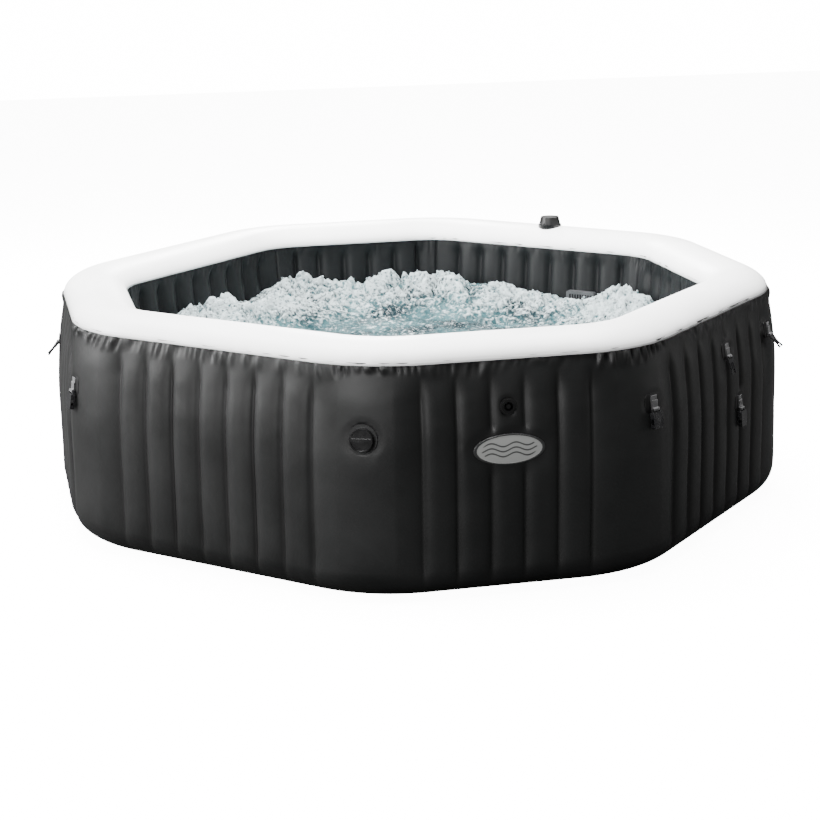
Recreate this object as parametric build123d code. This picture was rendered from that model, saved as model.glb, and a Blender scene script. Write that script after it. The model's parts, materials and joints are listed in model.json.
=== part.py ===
from build123d import *
import math
import os

os.makedirs("parts", exist_ok=True)

# Eight-sided inflatable hot tub. Millimetres, +Z up, origin at the middle of the footprint on the floor.
# Side 0 faces +X and the sides follow every 45 degrees anticlockwise: even sides are short, odd sides long.
# The badge is on side 6, which faces -Y, and the hose ports are on side 1, at the back right.

# Overall sizes
across_short_sides = 2180.0      # over the belly, from short side to short side
long_side_inset = 45.0           # how much nearer the middle the long sides stand
total_height = 690.0
corner_radius = 425.0            # plan radius of the belly at the corners

# Section of the inflated wall
skin = 2.5                       # welded vinyl with its mesh core
base_thickness = 3.0
foot_radius = 80.0               # rounding where the wall meets the floor
seam_inset = 32.0                # the wall leans in by this much at the rim's outer seam
lean_height = 310.0              # the upper part of the wall that leans
wall_steps = 10                  # straight steps that make up each slow curve of the section
rim_width = 189.0                # from the outer seam to the inner seam
rim_crown = 48.0                 # how far the rim swells above its outer seam
inner_seam_drop = 8.0            # the inner seam lies this much under the outer seam
inner_belly = 22.0               # how far the inner wall swells into the tub
inner_foot_inset = 10.0
foot_flange = 34.0               # width of the weld flange under each wall

# Ribs
rib_pitch = 92.0
long_side_webs = 8
short_side_webs = 6
web_thickness = 1.5
web_bottom = 40.0
web_top_gap = 95.0               # from the top of the webs to the crown of the rim

# Air duct round the floor
duct_width = 42.0
duct_height = 34.0
duct_skin = 2.0
bubble_hole = 3.0
long_side_bubble_holes = 16
short_side_bubble_holes = 10
bubble_hole_pitch = 36.0

fit_gap = 0.3                    # between pieces that move past each other
shaft_gap = 0.08                 # running fit of a stem or pin in its hole

# Inflation valve
valve_heading = 246.0            # direction that it faces, on the corner between sides 5 and 6
valve_height = total_height - 244.0
valve_flange_radius = 40.0
valve_bore_radius = 22.0
valve_wall = 5.0
valve_depth = 30.0
valve_stem_radius = 3.0
valve_neck = 14.0                # how far the neck stands out of the wall
valve_cap_rim = 4.0              # the cap's rim and grip stand this much over its face

# Pressure relief valve
relief_height = total_height - 177.0
relief_flange_radius = 22.0
relief_bore_radius = 12.0
relief_depth = 22.0
relief_stem_radius = 2.5

# Badge
badge_height = total_height - 290.0
badge_length = 195.0
badge_width = 82.0
badge_thickness = 2.5

# Rim control
knob_side = 1
knob_radius = 37.0
knob_top_radius = 31.0
knob_height = 26.0
knob_flutes = 18
knob_flute_radius = 3.0
knob_spindle_radius = 8.0
knob_barrel_depth = 46.0

# Hose ports on side 1
port_side = 1
port_bore_radius = 16.0
port_wall = 6.0
port_stub = 44.0                 # how far a stub stands out of the wall
port_thread_length = 22.0
port_thread_depth = 1.4
port_threads = 4
stub_root = 4.0                  # where a stub meets the pipe through the wall
outlet_along = -2 * rib_pitch
inlet_along = 2 * rib_pitch
outlet_port_height = total_height - 228.0
inlet_port_height = 330.0
grille_length = 108.0
grille_height = 62.0
grille_depth = 16.0
grille_bars = 9
air_port_height = total_height - 130.0
air_bore_radius = 9.0
air_wall = 3.0
air_bend = 40.0

# Drain on side 2
drain_side = 2
drain_height = 105.0
drain_bore_radius = 11.0
drain_wall = 4.0
drain_stub = 26.0

# Cover straps
patch_width = 62.0
patch_height = 50.0
patch_thickness = 2.0
strap_width = 25.0
strap_thickness = 2.4
bar_radius = 2.6
buckle_width = 37.0
buckle_length = 46.0
buckle_thickness = 13.0
buckle_slot = 8.6
clip_length = 50.0
clip_thickness = 4.4

# Worked out from the sizes above
half_short = across_short_sides / 2
half_long = half_short - long_side_inset
outer_seam_z = total_height - rim_crown
inner_seam_z = outer_seam_z - inner_seam_drop
lean_start_z = outer_seam_z - lean_height
lean_radius = (lean_height ** 2 + seam_inset ** 2) / (2 * seam_inset)
inner_seam_o = seam_inset + rim_width
inner_foot_o = inner_seam_o + inner_foot_inset
side_angle = 45.0
half_corner = side_angle / 2


def write(node, shape):
    export_step(shape, f"parts/{node}.step")


def side_apothem(side):
    return half_short if side % 2 == 0 else half_long


def half_flat(side):
    """Half the straight length of a side, between the centres of its two corner arcs."""
    here = side_apothem(side) - corner_radius
    beside = side_apothem(side + 1) - corner_radius
    turn = math.radians(side_angle)
    return (beside - here * math.cos(turn)) / math.sin(turn)


def lean(z):
    """Inset of the outer wall's face at a height: upright below, then a curve in to the rim's seam."""
    above = max(0.0, z - lean_start_z)
    return lean_radius - math.sqrt(lean_radius ** 2 - above ** 2)


def lean_angle(z):
    return math.asin(max(0.0, z - lean_start_z) / lean_radius)


def inner_inset(z):
    """Inset of the inner wall's face at a height, bowed in to the chamber between foot and seam."""
    share = (z - base_thickness) / (inner_seam_z - base_thickness)
    chord = inner_foot_o + (inner_seam_o - inner_foot_o) * share
    bow = inner_seam_o + inner_belly - (inner_seam_o + inner_foot_o) / 2
    return chord + bow * 4 * share * (1 - share)


def section_point(inset, z):
    """A point of the wall's section: x is the distance from the corner's centre, y is the height."""
    return (corner_radius - inset, z)


def face_curve(inset_at, start, end):
    """A slow curve of the wall's section, as short straight steps between two heights."""
    heights = [start + (end - start) * i / wall_steps for i in range(wall_steps + 1)]
    return Polyline(*[section_point(inset_at(z), z) for z in heights])


def wall_outline():
    """The whole inflated wall in section."""
    foot_z = base_thickness + foot_radius
    foot_mid = foot_radius * (1 - math.sqrt(0.5))
    crown = section_point(seam_inset + rim_width / 2, total_height)
    edges = [
        ThreePointArc(
            section_point(foot_radius, base_thickness),
            section_point(foot_mid, base_thickness + foot_mid),
            section_point(0, foot_z),
        ),
        Line(section_point(0, foot_z), section_point(0, lean_start_z)),
        face_curve(lean, lean_start_z, outer_seam_z),
        ThreePointArc(
            section_point(seam_inset, outer_seam_z), crown, section_point(inner_seam_o, inner_seam_z)
        ),
        face_curve(inner_inset, inner_seam_z, base_thickness),
        Line(section_point(inner_foot_o, base_thickness), section_point(foot_radius, base_thickness)),
    ]
    return make_face(edges)


def region(*points):
    return make_face(Polyline(*points, close=True))


def seam_region(first, second):
    """A wide wedge from the middle of the wall through two points of its section."""
    heart = Vector(*section_point(seam_inset + rim_width / 2, outer_seam_z - 2 * rim_width))
    reach = 3.0
    one = heart + (Vector(*first) - heart) * reach
    two = heart + (Vector(*second) - heart) * reach
    return region(*[(point.X, point.Y) for point in (heart, one, two)])


def ring_side(section, side):
    """Carry a section along one straight side and half way round the corner at each end."""
    centre = side_apothem(side) - corner_radius
    half = half_flat(side)
    start = Plane(origin=(centre, -half, 0), x_dir=(1, 0, 0), z_dir=(0, -1, 0))
    end = Plane(origin=(centre, half, 0), x_dir=(1, 0, 0), z_dir=(0, -1, 0))
    first_axis = Axis((centre, -half, 0), (0, 0, 1))
    last_axis = Axis((centre, half, 0), (0, 0, 1))
    straight = extrude(start * section, amount=2 * half, dir=(0, 1, 0))
    first = revolve((start * section).rotate(first_axis, -half_corner), first_axis, half_corner)
    last = revolve(end * section, last_axis, half_corner)
    return Rot(0, 0, side * side_angle) * (straight + first + last)


def ring(section):
    """One solid for each of the eight sides, mitred at the corners."""
    return [ring_side(section, side) for side in range(8)]


def plan_face(inset):
    """The outline of the tub in plan, moved in by an inset."""
    radius = corner_radius - inset
    arcs = []
    for side in range(8):
        theta = math.radians(side * side_angle)
        centre_n = side_apothem(side) - corner_radius
        centre_t = half_flat(side)
        cx = centre_n * math.cos(theta) - centre_t * math.sin(theta)
        cy = centre_n * math.sin(theta) + centre_t * math.cos(theta)
        arcs.append(CenterArc((cx, cy), radius, side * side_angle, side_angle))
    lines = [Line(arcs[i - 1] @ 1, arcs[i] @ 0) for i in range(8)]
    return make_face(arcs + lines)


def wall_plane(heading, along, z):
    """Plane on the outer wall: z out of the wall, x level, y up the wall. On a corner, along is 0."""
    side = math.floor(heading / side_angle + 1e-9)
    base = math.radians(side * side_angle)
    theta = math.radians(heading)
    n = side_apothem(side) - corner_radius
    t = along if abs(heading - side * side_angle) < 1e-6 else half_flat(side)
    reach = corner_radius - lean(z)
    x = n * math.cos(base) - t * math.sin(base) + reach * math.cos(theta)
    y = n * math.sin(base) + t * math.cos(base) + reach * math.sin(theta)
    tilt = lean_angle(z)
    normal = (math.cos(theta) * math.cos(tilt), math.sin(theta) * math.cos(tilt), math.sin(tilt))
    return Plane(origin=(x, y, z), x_dir=(-math.sin(theta), math.cos(theta), 0), z_dir=normal)


def level_plane(side, along, z):
    """Plane at the outer wall with its z axis level, for pipes that cross the wall."""
    theta = math.radians(side * side_angle)
    n = side_apothem(side) - lean(z)
    x = n * math.cos(theta) - along * math.sin(theta)
    y = n * math.sin(theta) + along * math.cos(theta)
    out = (math.cos(theta), math.sin(theta), 0)
    return Plane(origin=(x, y, z), x_dir=(-math.sin(theta), math.cos(theta), 0), z_dir=out)


def disc(radius, low, high):
    return Pos(0, 0, low) * Cylinder(radius, high - low, align=(Align.CENTER, Align.CENTER, Align.MIN))


def pipe(outer, inner, low, high):
    return disc(outer, low, high) - disc(inner, low, high)


def block(width, height, low, high):
    return Pos(0, 0, low) * Box(width, height, high - low, align=(Align.CENTER, Align.CENTER, Align.MIN))


def seated(piece, sides):
    """Trim a piece so that it lies on the wall of the given sides."""
    for side in sides:
        piece = piece - filled[side % 8]
    return piece


def sides_at(heading):
    side = math.floor(heading / side_angle + 1e-9)
    return (side,) if abs(heading - side * side_angle) < 1e-6 else (side, side + 1)


def spokes(count, reach, width, low, high):
    bar = Pos(reach / 2, 0, (low + high) / 2) * Box(reach, width, high - low)
    return [Rot(0, 0, i * 360 / count) * bar for i in range(count)]


def together(solids):
    return Compound([solid for part in solids for solid in part.solids()])


def coil(radius, wire, low, high, turns):
    """Compression spring along z."""
    length = high - low - 2 * wire
    path = Pos(0, 0, low + wire) * Helix(pitch=length / turns, height=length, radius=radius)
    profile = Plane(origin=path @ 0, z_dir=path % 0) * Circle(wire)
    return sweep(profile, path, is_frenet=True)


# The inflated wall -------------------------------------------------------------------------------------

outline = wall_outline()
chamber = offset(outline, amount=-skin, kind=Kind.INTERSECTION)
skins = outline - chamber
outer_seam = section_point(seam_inset, outer_seam_z)
inner_seam = section_point(inner_seam_o, inner_seam_z)
middle_x = section_point(seam_inset + rim_width / 2, 0)[0]
rim_wedge = seam_region(outer_seam, inner_seam)
foot_gap = region(
    section_point(foot_radius + foot_flange, 0),
    section_point(foot_radius + foot_flange, base_thickness + 2 * skin),
    section_point(inner_foot_o - foot_flange, base_thickness + 2 * skin),
    section_point(inner_foot_o - foot_flange, 0),
)
side_skins = skins - rim_wedge - foot_gap
beyond = 2 * corner_radius
outer_half = region((middle_x, -skin), (middle_x, total_height), (beyond, total_height), (beyond, -skin))
inner_half = region((middle_x, -skin), (middle_x, total_height), (-beyond, total_height), (-beyond, -skin))

filled = ring(outline)
outer_wall = ring(side_skins & outer_half)
inner_wall = ring(side_skins & inner_half)
top_rim = ring(skins & rim_wedge)
base_sheet = extrude(plan_face(foot_radius), amount=base_thickness)


def tension_webs():
    """Upright sheets that hold the outer and inner walls together, one behind each rib seam."""
    web_top = total_height - web_top_gap
    band = region((-beyond, web_bottom), (beyond, web_bottom), (beyond, web_top), (-beyond, web_top))
    section = chamber & band
    webs = []
    for side in range(8):
        count = short_side_webs if side % 2 == 0 else long_side_webs
        n = side_apothem(side) - corner_radius
        for i in range(count):
            t = (i - (count - 1) / 2) * rib_pitch
            if abs(t) > half_flat(side):
                continue
            place = Plane(origin=(n, t, 0), x_dir=(1, 0, 0), z_dir=(0, -1, 0))
            sheet = extrude(place * section, amount=web_thickness / 2, both=True)
            webs.append(Rot(0, 0, side * side_angle) * sheet)
    return webs


def bubble_duct():
    """Hollow air channel round the floor, with a row of bubble holes along the top of each side."""
    low_in = section_point(inner_foot_o - 2 * skin, base_thickness)
    low_out = section_point(inner_foot_o + duct_width, base_thickness)
    shoulder = section_point(inner_foot_o + 0.75 * duct_width, base_thickness + 0.72 * duct_height)
    top = section_point(inner_foot_o - 2 * skin, base_thickness + duct_height)
    shape = make_face([Line(low_in, low_out), ThreePointArc(low_out, shoulder, top), Line(top, low_in)])
    section = shape - outline
    hollow = offset(section, amount=-duct_skin, kind=Kind.INTERSECTION)
    sides = ring(section - hollow)
    for side in range(8):
        count = short_side_bubble_holes if side % 2 == 0 else long_side_bubble_holes
        n = side_apothem(side) - inner_foot_o - duct_width / 2
        drill = disc(bubble_hole / 2, base_thickness + duct_height / 3, base_thickness + duct_height)
        holes = [Pos(n, (i - (count - 1) / 2) * bubble_hole_pitch, 0) * drill for i in range(count)]
        sides[side] = sides[side] - [Rot(0, 0, side * side_angle) * hole for hole in holes]
    return sides


# Inflation valve ---------------------------------------------------------------------------------------

valve_plane = wall_plane(valve_heading, 0, valve_height)
valve_sides = sides_at(valve_heading)
valve_barrel = valve_bore_radius + valve_wall
valve_lip = 3.0
valve_seat_low = -valve_depth + 3.0


def valve_parts():
    hole = valve_plane * disc(valve_barrel + fit_gap, -valve_depth, valve_neck)
    for side in valve_sides:
        outer_wall[side] = outer_wall[side] - hole
    flange = pipe(valve_flange_radius, valve_barrel + fit_gap, -valve_lip, valve_lip)
    write("valve_flange", seated(valve_plane * flange, valve_sides))
    hub_low = valve_seat_low + 9.0
    body = pipe(valve_barrel, valve_bore_radius, -valve_depth, valve_neck)
    body += pipe(valve_barrel + 4.0, valve_barrel - 1.0, valve_lip, 2 * valve_lip)
    body += pipe(valve_barrel - 1.0, valve_bore_radius - 8.0, valve_seat_low, valve_seat_low + 3.0)
    body += disc(2.4 * valve_stem_radius, hub_low, hub_low + 6.0)
    body += spokes(3, valve_bore_radius + 1.0, 3.0, hub_low, hub_low + 4.0)
    body -= disc(valve_stem_radius + shaft_gap, -valve_depth, valve_neck)
    write("valve_body", valve_plane * body)
    button_low = hub_low + 18.0
    plunger = disc(valve_stem_radius, valve_seat_low - 4.0, button_low)
    plunger += disc(valve_bore_radius - 5.0, valve_seat_low - 4.0, valve_seat_low - fit_gap)
    plunger += disc(2.6 * valve_stem_radius, button_low, button_low + 3.0)
    write("valve_plunger", valve_plane * plunger)
    spring = coil(1.7 * valve_stem_radius, 0.6, hub_low + 6.0, button_low, 4)
    write("valve_spring", valve_plane * spring)
    face = valve_neck + 2 * fit_gap
    rim = face + 2.5 + valve_cap_rim
    cap = pipe(valve_barrel + 4.0, valve_barrel + 2 * fit_gap, 2 * valve_lip + 2 * fit_gap, rim)
    cap += disc(valve_barrel + 1.0, face, face + 2.5)
    cap += block(2 * valve_barrel + 2.0, 9.0, face, rim)
    write("valve_cap", valve_plane * cap)


# Pressure relief valve ---------------------------------------------------------------------------------

relief_plane = wall_plane(270.0, 0, relief_height)
relief_barrel = relief_bore_radius + 3.0


def relief_parts():
    hole = relief_plane * disc(relief_barrel + fit_gap, -relief_depth, relief_depth)
    outer_wall[6] = outer_wall[6] - hole
    flange = pipe(relief_flange_radius, relief_barrel + fit_gap, -2.0, 3.0)
    write("relief_flange", seated(relief_plane * flange, (6,)))
    seat = -relief_depth + 4.0
    hub = seat + 7.0
    body = pipe(relief_barrel, relief_bore_radius, -relief_depth, 6.0)
    body += pipe(relief_barrel + 3.0, relief_barrel - 1.0, 3.0, 6.0)
    body += pipe(relief_barrel - 1.0, relief_bore_radius - 5.0, seat, seat + 2.0)
    body += disc(2 * relief_stem_radius, hub, hub + 3.0)
    body += spokes(3, relief_bore_radius + 1.0, 2.4, hub, hub + 3.0)
    body -= disc(relief_stem_radius + shaft_gap, -relief_depth, relief_depth)
    write("relief_body", relief_plane * body)
    button = hub + 12.0
    plunger = disc(relief_stem_radius, seat - 3.0, button)
    plunger += disc(relief_bore_radius - 3.0, seat - 3.0, seat - fit_gap)
    plunger += disc(2.4 * relief_stem_radius, button, button + 3.5)
    write("relief_plunger", relief_plane * plunger)
    write("relief_spring", relief_plane * coil(1.6 * relief_stem_radius, 0.5, hub + 3.0, button, 4))


def badge():
    plate = extrude(Ellipse(badge_length / 2, badge_width / 2), amount=badge_thickness + 2.0)
    place = wall_plane(270.0, 0, badge_height)
    write("badge_plate", seated(place * Pos(0, 0, -2.0) * plate, (6,)))


# Rim control -------------------------------------------------------------------------------------------

knob_heading = math.radians(knob_side * side_angle)
knob_reach = side_apothem(knob_side) - seam_inset - rim_width / 2
knob_place = Pos(knob_reach * math.cos(knob_heading), knob_reach * math.sin(knob_heading), total_height)
knob_base_height = 6.0


def rim_control():
    barrel = knob_spindle_radius + 12.0
    top_rim[knob_side] = top_rim[knob_side] - knob_place * disc(barrel + fit_gap, -knob_barrel_depth, 10.0)
    ring_base = pipe(knob_radius + 3.0, barrel - 1.0, -10.0, knob_base_height)
    ring_base = seated(knob_place * ring_base, (knob_side,))
    tube = pipe(barrel, barrel - 3.0, -knob_barrel_depth, knob_base_height)
    window = Pos(barrel, 0, -knob_barrel_depth + 18.0) * Box(12.0, 14.0, 18.0)
    windows = [Rot(0, 0, a) * window for a in (0, 120, 240)]
    tube = tube - windows
    write("control_body", ring_base + knob_place * tube)
    drum = disc(barrel - 3.0 - fit_gap, -knob_barrel_depth + 3.0, -8.0)
    drum -= disc(barrel - 6.0, -knob_barrel_depth, -11.0)
    drum_window = Pos(barrel - 4.0, 0, -knob_barrel_depth + 18.0) * Box(12.0, 14.0, 18.0)
    drum -= [Rot(0, 0, a + 60) * drum_window for a in (0, 120, 240)]
    drum += disc(knob_spindle_radius, -8.0, knob_base_height + 6.0)
    write("control_drum", knob_place * drum)
    low = knob_base_height + 2 * fit_gap
    cap = Pos(0, 0, low + knob_height / 2) * Cone(knob_radius, knob_top_radius, knob_height)
    flute = disc(knob_flute_radius, low - 1.0, low + knob_height + 1.0)
    first_flute = Pos(knob_radius + 1.0, 0, 0) * flute
    cap -= [Rot(0, 0, i * 360 / knob_flutes) * first_flute for i in range(knob_flutes)]
    cap -= disc(knob_spindle_radius, low - 1.0, knob_base_height + 6.0)
    top = low + knob_height
    cap += Pos(0.6 * knob_top_radius, 0, 0) * block(0.7 * knob_top_radius, 5.0, top, top + 2.0)
    write("control_knob", knob_place * cap)


# Hose ports --------------------------------------------------------------------------------------------


def water_port(name, along, z):
    place = level_plane(port_side, along, z)
    reach = inner_inset(z) - lean(z)
    outer = port_bore_radius + port_wall
    hole = place * disc(outer + fit_gap, -reach - 2 * grille_depth, port_stub)
    outer_wall[port_side] = outer_wall[port_side] - hole
    inner_wall[port_side] = inner_wall[port_side] - hole
    sleeve = pipe(outer, port_bore_radius - 1.0, -reach - 6.0, stub_root)
    write(f"{name}_sleeve", place * sleeve)
    stub = pipe(outer, port_bore_radius, stub_root, port_stub)
    for i in range(port_threads):
        low = port_stub - port_thread_length + i * port_thread_length / port_threads
        stub += pipe(outer + port_thread_depth, outer - 1.0, low, low + 2.2)
    write(f"{name}_stub", place * stub)
    seal = pipe(outer + 16.0, outer + fit_gap, -9.0, stub_root)
    write(f"{name}_seal", seated(place * seal, (port_side,)))
    nut = extrude(RegularPolygon(outer + 14.0, 8), amount=10.0) - disc(outer + fit_gap, -1.0, 11.0)
    write(f"{name}_nut", place * Pos(0, 0, stub_root) * nut)
    frame = block(grille_length, grille_height, -reach - grille_depth, -reach + 10.0)
    frame = fillet(frame.edges().filter_by(Axis.Z), 9.0)
    room = block(grille_length - 6.0, grille_height - 6.0, -reach - grille_depth + 3.0, -reach + 11.0)
    frame -= fillet(room.edges().filter_by(Axis.Z), 6.0)
    slot_pitch = (grille_length - 20.0) / grille_bars
    front = -reach - grille_depth
    slot = block(slot_pitch - 4.0, grille_height - 22.0, front - 1.0, front + 4.0)
    frame -= [Pos((i - (grille_bars - 1) / 2) * slot_pitch, 0, 0) * slot for i in range(grille_bars)]
    write(f"{name}_grille", seated(place * frame, (port_side,)))


def air_pipe():
    place = level_plane(port_side, 0, air_port_height)
    middle = seam_inset + rim_width / 2 - lean(air_port_height)
    drop = air_port_height - base_thickness - duct_height / 2
    end = inner_foot_o + duct_width / 3 - lean(air_port_height)
    points = [(0, 0, stub_root), (0, 0, -middle), (0, -drop, -middle), (0, -drop, -end)]
    path = FilletPolyline(*points, radius=air_bend)
    outer = air_bore_radius + air_wall
    section = Plane(origin=points[0], z_dir=(0, 0, -1))
    tube = sweep(section * Circle(outer), path) - sweep(section * Circle(air_bore_radius), path)
    write("air_pipe", place * tube)
    stub = pipe(outer + 1.0, air_bore_radius + 1.0, stub_root, port_stub)
    write("air_stub", place * stub)
    hole = place * disc(outer + 1.0 + fit_gap, -middle, port_stub)
    outer_wall[port_side] = outer_wall[port_side] - hole
    low_hole = place * Pos(0, -drop, 0) * disc(outer + fit_gap, -end, -middle)
    inner_wall[port_side] = inner_wall[port_side] - low_hole
    duct_sides[port_side] = duct_sides[port_side] - low_hole
    flange = pipe(outer + 12.0, outer + 1.0 + fit_gap, -6.0, 5.0)
    write("air_flange", seated(place * flange, (port_side,)))


def drain():
    place = level_plane(drain_side, 0, drain_height)
    reach = inner_inset(drain_height) - lean(drain_height)
    outer = drain_bore_radius + drain_wall
    hole = place * disc(outer + fit_gap, -reach - 20.0, drain_stub)
    outer_wall[drain_side] = outer_wall[drain_side] - hole
    inner_wall[drain_side] = inner_wall[drain_side] - hole
    flanges = pipe(outer + 12.0, outer - 1.0, -4.0, 4.0)
    flanges += pipe(outer + 9.0, outer - 1.0, -reach - 5.0, -reach + 6.0)
    flanges = seated(place * flanges, (drain_side,))
    tube = pipe(outer, drain_bore_radius, -reach - 5.0, drain_stub)
    write("drain_body", flanges + place * tube)
    cap = pipe(outer + 5.0, outer + 2 * fit_gap, 7.0, drain_stub + 4.0)
    cap += disc(outer + 5.0, drain_stub + 2 * fit_gap, drain_stub + 4.0)
    ribs = Pos(outer + 5.0, 0, 0) * block(2.0, 2.4, 7.0, drain_stub + 4.0)
    cap += [Rot(0, 0, i * 20) * ribs for i in range(18)]
    write("drain_cap", place * cap)
    plug = disc(drain_bore_radius - fit_gap, -reach + 2.0, 14.0 - reach)
    plug -= disc(drain_bore_radius - 4.0, -reach, -reach + 10.0)
    write("drain_valve", place * plug)


# Cover straps ------------------------------------------------------------------------------------------

bar_drop = 18.0                  # the bar hangs this much under the middle of its patch
bar_out = 8.0                    # and this far out from the wall
eye_radius = bar_radius + 0.5

# name: heading, distance along the side, height, tilt away from the wall
buckle_places = {
    "left": (195.0, 0.0, 470.0, 3.0),
    "front_right": (299.5, 0.0, 480.0, 2.0),
    "right": (315.0, 118.0, 360.0, 3.0),
    "back": (112.5, 0.0, 470.0, 2.0),
}
clip_places = {
    "left": (180.0, -152.0, 512.0, 34.0),
    "right": (315.0, 42.0, 528.0, 12.0),
    "right_corner": (321.0, 0.0, 530.0, 38.0),
    "back": (135.0, 0.0, 512.0, 24.0),
}


def strap_patch(name, heading, place):
    patch = block(patch_width, patch_height, -5.0, patch_thickness)
    patch = fillet(patch.edges().filter_by(Axis.Z), 8.0)
    write(f"{name}_patch", seated(place * patch, sides_at(heading)))


def strap_loop(name, place):
    """Webbing sewn to the patch, folded round the bar and back on itself."""
    low = patch_thickness
    top = low + strap_thickness
    lower = Pos(0, 3.0, 0) * block(strap_width, 34.0, low, top)
    upper = Pos(0, -4.0, 0) * block(strap_width, 20.0, top, top + strap_thickness)
    eye = Pos(0, -bar_drop, bar_out) * Rot(0, 90, 0) * Cylinder(eye_radius + strap_thickness, strap_width)
    room = Pos(0, -bar_drop, bar_out) * Rot(0, 90, 0) * Cylinder(eye_radius, strap_width + 2.0)
    write(f"{name}_webbing", place * (lower + upper + eye - room))


def bar_and_cheeks(width, body_top):
    """The crossbar with its two cheeks, about the bar's own axis, hanging towards -y."""
    bar = Rot(0, 90, 0) * Cylinder(bar_radius, width)
    cheek = Pos(0, -body_top / 2, 0) * Box(4.0, body_top + 4.0, 2 * bar_radius)
    return bar + Pos(width / 2 - 2.0, 0, 0) * cheek + Pos(2.0 - width / 2, 0, 0) * cheek


def buckle():
    """Socket half of a side-release buckle."""
    top = eye_radius + strap_thickness + 1.0
    body = Pos(0, -top - buckle_length / 2, 1.5) * Box(buckle_width, buckle_length, buckle_thickness)
    body = fillet(body.edges().filter_by(Axis.Z), 5.0)
    slot = Box(buckle_width - 9.0, 2 * (buckle_length - 12.0), buckle_slot)
    slot = Pos(0, -top - buckle_length, 1.5) * slot
    window = Pos(0, -top - buckle_length / 2 - 3.0, 1.5) * Box(buckle_width + 2.0, 16.0, buckle_slot)
    return bar_and_cheeks(strap_width + 10.0, top + 1.0) + (body - slot - window)


def clip():
    """Prong half of a side-release buckle."""
    top = eye_radius + strap_thickness + 1.0
    plate = Pos(0, -top - 6.0, 0) * Box(strap_width + 8.0, 12.0, clip_thickness)
    guide = Pos(0, -top - 6.0 - clip_length / 4, 0) * Box(5.0, clip_length / 2, clip_thickness)
    piece = bar_and_cheeks(strap_width + 10.0, top + 1.0) + plate + guide
    for side in (-1, 1):
        prong = Box(3.4, 2 * clip_length / 3, clip_thickness)
        prong = Pos(side * 10.0, -top - 6.0 - clip_length / 3, 0) * prong
        head = Pos(side * 12.0, -top - clip_length + 12.0, 0) * Box(7.0, 10.0, clip_thickness)
        piece += prong + head
    return piece


def strap_units():
    for kind, places, make in (("buckle", buckle_places, buckle), ("clip", clip_places, clip)):
        for name, (heading, along, z, tilt) in places.items():
            place = wall_plane(heading, along, z)
            node = f"{name}_{kind}"
            strap_patch(node, heading, place)
            strap_loop(node, place)
            write(node, place * Pos(0, -bar_drop, bar_out) * Rot(-tilt, 0, 0) * make())


# Build -------------------------------------------------------------------------------------------------

duct_sides = bubble_duct()
valve_parts()
relief_parts()
badge()
rim_control()
water_port("outlet", outlet_along, outlet_port_height)
water_port("inlet", inlet_along, inlet_port_height)
air_pipe()
drain()
strap_units()
write("outer_wall", together(outer_wall))
write("inner_wall", together(inner_wall))
write("top_rim", together(top_rim))
write("tension_webs", together(tension_webs()))
write("bubble_duct", together(duct_sides))
write("base_sheet", base_sheet)
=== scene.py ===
import json
import math
import bmesh
import bpy
import numpy as np
from mathutils import Matrix, Vector


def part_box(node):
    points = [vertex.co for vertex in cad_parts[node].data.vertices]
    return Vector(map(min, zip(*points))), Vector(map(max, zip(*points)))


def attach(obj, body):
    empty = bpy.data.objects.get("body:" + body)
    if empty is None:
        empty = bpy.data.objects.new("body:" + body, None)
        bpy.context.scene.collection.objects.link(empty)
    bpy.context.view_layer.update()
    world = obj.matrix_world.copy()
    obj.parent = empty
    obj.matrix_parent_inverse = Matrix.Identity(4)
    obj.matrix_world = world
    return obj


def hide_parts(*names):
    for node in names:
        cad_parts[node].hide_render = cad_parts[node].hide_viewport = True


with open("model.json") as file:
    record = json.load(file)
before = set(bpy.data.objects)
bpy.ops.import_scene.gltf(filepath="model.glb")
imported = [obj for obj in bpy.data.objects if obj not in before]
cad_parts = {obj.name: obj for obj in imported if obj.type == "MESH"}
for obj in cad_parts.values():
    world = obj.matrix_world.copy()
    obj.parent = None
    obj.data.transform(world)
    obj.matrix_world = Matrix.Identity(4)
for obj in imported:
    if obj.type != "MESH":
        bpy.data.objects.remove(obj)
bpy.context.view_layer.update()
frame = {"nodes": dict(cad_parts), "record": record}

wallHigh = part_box("outer_wall")[1]
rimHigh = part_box("top_rim")[1]
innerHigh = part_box("inner_wall")[1]
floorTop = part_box("base_sheet")[1][2]

tub = {
    "halfShort": wallHigh[0],                  # middle to a short side, over the belly
    "longInset": 0.045,                        # how much nearer the long sides are
    "cornerRadius": 0.425,
    "rimTop": rimHigh[2],
    "outerSeamZ": wallHigh[2],
    "innerSeamZ": innerHigh[2],
    "seamInset": 0.032,                        # the rim's outer seam from the belly
    "innerSeamInset": 0.221,
    "footRadius": 0.080,
    "leanHeight": 0.310,
    "innerBelly": 0.022,
    "innerFootInset": 0.231,
}
tub["halfLong"] = tub["halfShort"] - tub["longInset"]

ribs = {
    "pitch": 0.092,
    "longSeams": 8,
    "shortSeams": 6,
    "depth": 0.016,                            # how deep the weld seams pull in
    "innerDepth": 0.024,
    "cornerSwell": 0.002,
    "fadeTop": 0.075,
    "fadeFoot": 0.060,
}


# numpy helpers

def smooth(low, high, x):                      # 0 below low, 1 above high, eased between
    t = np.clip((x - low) / (high - low), 0, 1)
    return t * t * (3 - 2 * t)


def hash2(ix, iy, seed):                       # repeatable value from 0 to 1 for each lattice point
    h = np.sin(ix * 127.1 + iy * 311.7 + seed * 74.7) * 43758.5453
    return h - np.floor(h)


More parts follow.
